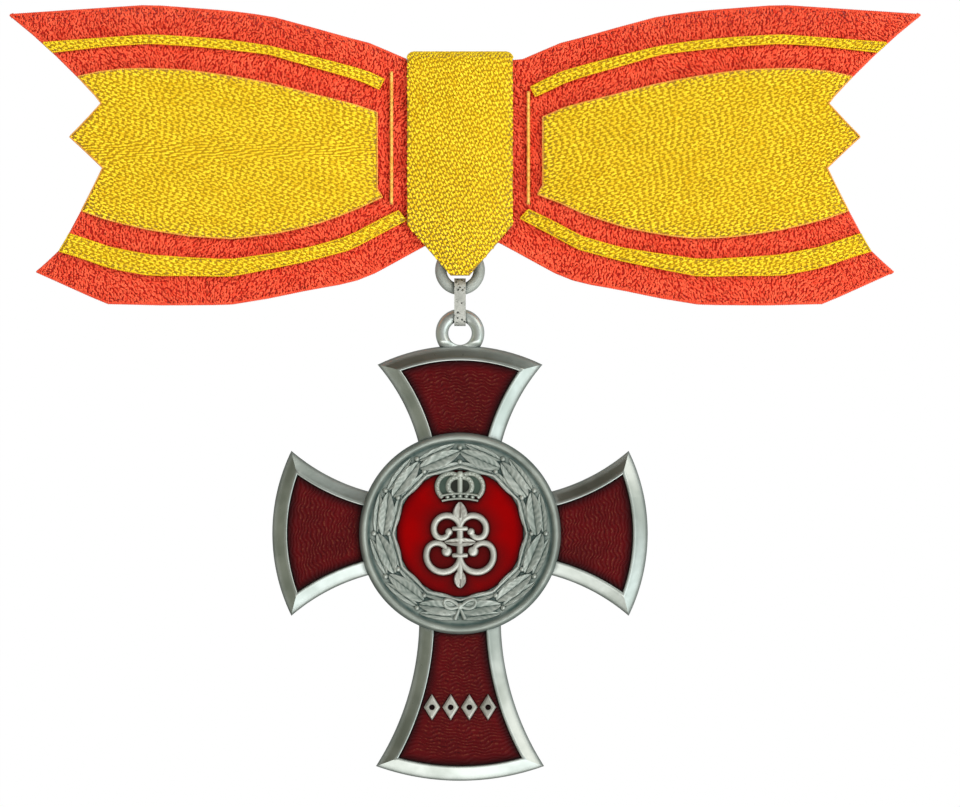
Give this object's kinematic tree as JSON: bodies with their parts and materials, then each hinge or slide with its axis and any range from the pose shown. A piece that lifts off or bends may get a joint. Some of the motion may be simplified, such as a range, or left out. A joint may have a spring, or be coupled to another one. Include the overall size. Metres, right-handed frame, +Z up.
{
  "type": "order insignia",
  "caption": "Enamelled cross with flared arms and a wreathed centre disc, hanging by an eye, a strap link and a ring from an embroidered cloth bow that pins on.",
  "frame": {"origin": "middle of the pin needle behind the bow, where the insignia is pinned on", "axes": "+Z up as it hangs, front faces -Y, +X to the right of someone looking at its front"},
  "size_m": [0.0974, 0.009, 0.0829],
  "materials": {
    "red_cloth": "fine red embroidery thread, small curled stitches",
    "yellow_cloth": "golden yellow embroidery thread, slanting satin stitches",
    "steel": "plain polished wire and strip",
    "silver": "cast silver, worn bright on the edges, grey patina in the hollows",
    "dark_red_enamel": "deep red glassy enamel over engraved metal",
    "red_enamel": "bright red glassy enamel"
  },
  "bodies": {
    "bow": {"wing_left": "red_cloth", "wing_right": "red_cloth", "panel_left": "yellow_cloth", "panel_right": "yellow_cloth", "upper_stripe_left": "yellow_cloth", "upper_stripe_right": "yellow_cloth", "lower_stripe_left": "yellow_cloth", "lower_stripe_right": "yellow_cloth", "inner_stripe_left": "yellow_cloth", "inner_stripe_right": "yellow_cloth", "knot": "yellow_cloth", "pin": "steel", "ring": "silver"},
    "link": {"link": "silver"},
    "cross": {"cross_frame": "silver", "enamel_top": "dark_red_enamel", "enamel_left": "dark_red_enamel", "enamel_right": "dark_red_enamel", "enamel_foot": "dark_red_enamel", "centre_disc": "silver", "centre_enamel": "red_enamel", "crown": "silver", "scrollwork": "silver", "lozenge_1": "silver", "lozenge_2": "silver", "lozenge_3": "silver", "lozenge_4": "silver"}
  },
  "joints": [
    {"name": "link_swing", "type": "hinge", "parent": "bow", "child": "link", "pos_m": [0, -0.00475, -0.01712], "axis": [0, 1, 0], "range_deg": [-30, 30]},
    {"name": "cross_swing", "type": "hinge", "parent": "link", "child": "cross", "pos_m": [0, -0.00475, -0.02194], "axis": [1, 0, 0], "range_deg": [-60, 60]}
  ]
}
